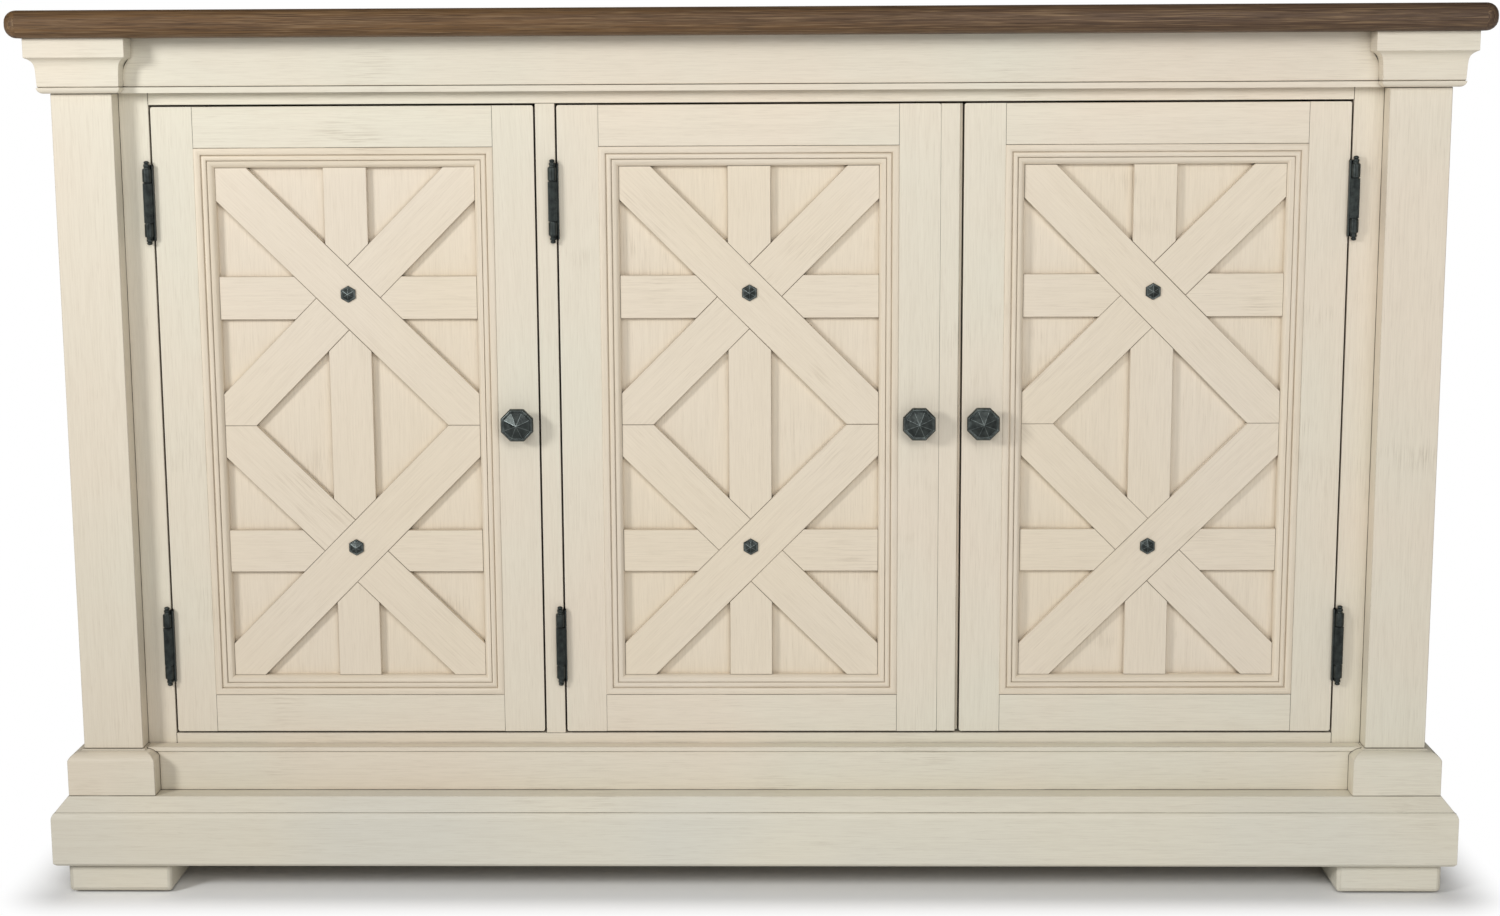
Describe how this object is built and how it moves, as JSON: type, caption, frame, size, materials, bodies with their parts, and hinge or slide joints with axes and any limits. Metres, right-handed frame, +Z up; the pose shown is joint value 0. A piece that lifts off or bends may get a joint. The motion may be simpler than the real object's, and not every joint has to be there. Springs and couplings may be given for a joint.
{
  "type": "sideboard buffet",
  "caption": "Free-standing sideboard with a stained bullnose top, painted corner posts with capitals and plinths, and inset doors with crossed strap panels on butt hinges.",
  "frame": {"origin": "on the floor, under the centre of the top", "axes": "+X along the width to the viewer's right, -Y out of the doors, +Z up"},
  "size_m": [1.515, 0.489, 0.941],
  "materials": {
    "painted_wood": "antique cream brushed paint with a brown glaze, satin",
    "stained_top": "weathered brown stain, open grain, low sheen",
    "inner_board": "sealed light board",
    "black_iron": "dark hammered gunmetal",
    "steel": "zinc plated",
    "catch_plastic": "brown moulded plastic",
    "glide_nylon": "plain"
  },
  "bodies": {
    "cabinet": {"apron_front": "painted_wood", "back_panel": "inner_board", "base_front": "painted_wood", "base_sides": "painted_wood", "cabinet_floor": "inner_board", "capital_left": "painted_wood", "capital_right": "painted_wood", "face_mullion": "painted_wood", "face_rails": "painted_wood", "face_stiles": "painted_wood", "feet": "painted_wood", "foot_glides": "glide_nylon", "frieze_front": "painted_wood", "hinge_frame_leaves": "black_iron", "hinge_pins": "black_iron", "magnet_catches": "catch_plastic", "partition": "inner_board", "plinth_left": "painted_wood", "plinth_right": "painted_wood", "post_left": "painted_wood", "post_right": "painted_wood", "rear_capitals": "painted_wood", "rear_plinths": "painted_wood", "rear_posts": "painted_wood", "rear_rails": "inner_board", "shelf_pins": "steel", "shelves": "inner_board", "side_aprons": "painted_wood", "side_friezes": "painted_wood", "side_panels": "painted_wood", "top_cleats": "inner_board", "top_slab": "stained_top"},
    "door_left": {"door_left_hinge_leaves": "black_iron", "door_left_knob": "black_iron", "door_left_moulding": "painted_wood", "door_left_panel": "painted_wood", "door_left_rails": "painted_wood", "door_left_stiles": "painted_wood", "door_left_straps": "painted_wood", "door_left_strike": "steel", "door_left_studs": "black_iron"},
    "door_middle": {"door_middle_astragal": "painted_wood", "door_middle_hinge_leaves": "black_iron", "door_middle_knob": "black_iron", "door_middle_moulding": "painted_wood", "door_middle_panel": "painted_wood", "door_middle_rails": "painted_wood", "door_middle_stiles": "painted_wood", "door_middle_straps": "painted_wood", "door_middle_strike": "steel", "door_middle_studs": "black_iron"},
    "door_right": {"door_right_hinge_leaves": "black_iron", "door_right_knob": "black_iron", "door_right_moulding": "painted_wood", "door_right_panel": "painted_wood", "door_right_rails": "painted_wood", "door_right_stiles": "painted_wood", "door_right_straps": "painted_wood", "door_right_strike": "steel", "door_right_studs": "black_iron"}
  },
  "joints": [
    {"name": "left_door_hinge", "type": "hinge", "parent": "cabinet", "child": "door_left", "pos_m": [-0.6297, -0.1905, 0.506], "axis": [0, 0, -1], "range_deg": [0, 120]},
    {"name": "middle_door_hinge", "type": "hinge", "parent": "cabinet", "child": "door_middle", "pos_m": [-0.2052, -0.1905, 0.506], "axis": [0, 0, -1], "range_deg": [0, 120]},
    {"name": "right_door_hinge", "type": "hinge", "parent": "cabinet", "child": "door_right", "pos_m": [0.6297, -0.1905, 0.506], "axis": [0, 0, 1], "range_deg": [0, 120]}
  ]
}
